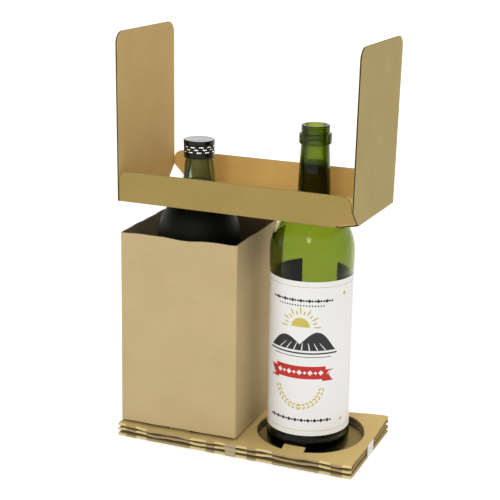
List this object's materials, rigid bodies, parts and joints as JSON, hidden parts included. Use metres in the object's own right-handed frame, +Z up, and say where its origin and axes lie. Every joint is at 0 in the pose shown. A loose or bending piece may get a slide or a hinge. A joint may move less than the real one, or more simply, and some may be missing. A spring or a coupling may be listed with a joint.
{
  "type": "two-bottle wine shipping pack",
  "caption": "Corrugated shipping inserts round two wine bottles: folded base pad with sockets, square sleeve, and a neck tray with tall end flaps.",
  "frame": {"origin": "middle of the base pad's underside, on the surface that it stands on", "axes": "+X along the pad's long side towards the uncovered bottle, -Y is the front, +Z up"},
  "size_m": [0.2322, 0.1145, 0.3795],
  "materials": {
    "kraft_board": "matt kraft liner over fine flutes",
    "paper_tape": "matt white paper tape",
    "green_glass": "clear yellow-green glass",
    "white_wine": "clear still liquid",
    "label_paper": "smooth coated paper",
    "black_cap": "gloss black enamel"
  },
  "bodies": {
    "pack": {"base_pad": "kraft_board", "pad_tape": "paper_tape", "divider_sleeve": "kraft_board", "neck_tray": "kraft_board", "right_bottle": "green_glass", "right_bottle_label": "label_paper", "left_bottle": "green_glass", "left_bottle_wine": "white_wine", "left_bottle_cap": "black_cap", "left_bottle_ring": "black_cap"},
    "left_flap": {"left_end_flap": "kraft_board"},
    "right_flap": {"right_end_flap": "kraft_board"}
  },
  "joints": [
    {"name": "left_flap_crease", "type": "hinge", "parent": "pack", "child": "left_flap", "pos_m": [-0.11403, 0.00285, 0.2275], "axis": [-0.0244, -0.9997, 0], "range_deg": [0, 90]},
    {"name": "right_flap_crease", "type": "hinge", "parent": "pack", "child": "right_flap", "pos_m": [0.11111, -0.00265, 0.2275], "axis": [0.0244, 0.9997, 0], "range_deg": [0, 89]}
  ]
}
